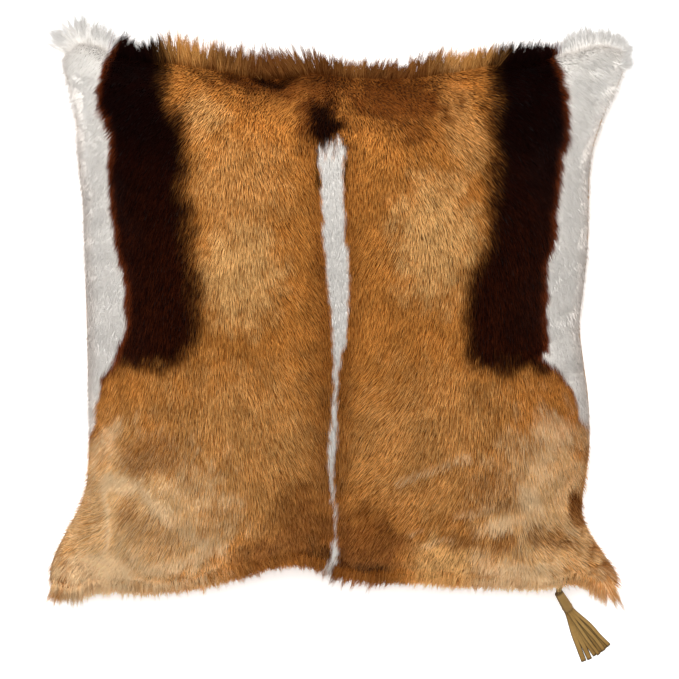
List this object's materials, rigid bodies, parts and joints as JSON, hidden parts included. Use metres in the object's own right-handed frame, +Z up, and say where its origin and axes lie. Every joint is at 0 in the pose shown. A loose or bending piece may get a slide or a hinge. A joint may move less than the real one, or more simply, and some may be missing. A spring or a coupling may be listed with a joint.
{
  "type": "springbok hide cushion cover",
  "caption": "Square filled cushion with a hair-on antelope hide face, drawn-in sides, pointed corners, a suede back, rim fur and a suede tassel, lying on its back.",
  "frame": {"origin": "middle of the flat patch under the cushion, on the surface that it rests on", "axes": "+Z up out of the hide face, +Y up the face towards the long rim fur, +X across the face towards the side with the tassel"},
  "size_m": [0.4629, 0.5073, 0.1254],
  "materials": {
    "hide": "short hair on hide, in tan, dark brown, white and cream",
    "suede": "tan suede with a fine nap",
    "tassel_suede": "golden tan suede with dark cut edges"
  },
  "bodies": {
    "root": {"filled_hide": "hide", "suede_back": "suede", "top_fur": "hide", "foot_fur": "hide", "thong": "tassel_suede", "tassel": "tassel_suede"}
  },
  "joints": []
}
